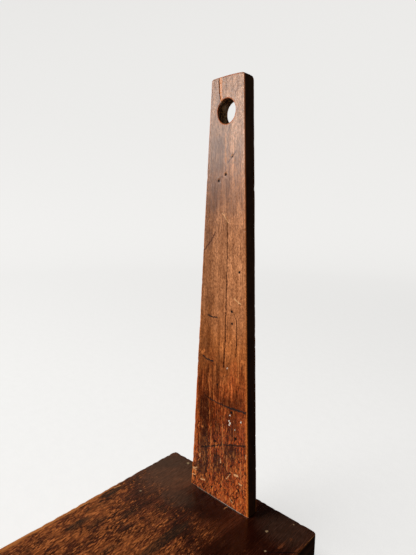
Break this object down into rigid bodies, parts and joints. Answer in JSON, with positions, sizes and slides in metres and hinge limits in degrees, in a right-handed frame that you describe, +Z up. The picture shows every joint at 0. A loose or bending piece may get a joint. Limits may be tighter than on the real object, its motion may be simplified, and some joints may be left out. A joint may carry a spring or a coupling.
{
  "type": "t square",
  "caption": "Wooden T-square with a tapered blade standing on a deep slab head, held by a wedged and pegged through tenon, with a hanging hole near the tip.",
  "frame": {"origin": "middle of the head's flat underside, under the middle of the object's box", "axes": "+X along the head's length and the blade's width, +Y towards the head's rear end, which the blade stands close to, +Z up along the blade, away from the head"},
  "size_m": [0.174, 0.2, 0.4025],
  "materials": {
    "blade_wood": "waxed red-brown hardwood, grain along the blade, worn and scratched",
    "head_wood": "dark stained and polished hardwood, grain along the head's depth, scuffed",
    "wedge_wood": "oiled hardwood, end grain showing",
    "peg_wood": "oiled hardwood dowel, end grain showing"
  },
  "bodies": {
    "root": {"blade": "blade_wood", "head": "head_wood", "wedge_left": "wedge_wood", "wedge_right": "wedge_wood", "peg_left": "peg_wood", "peg_right": "peg_wood"}
  },
  "joints": []
}
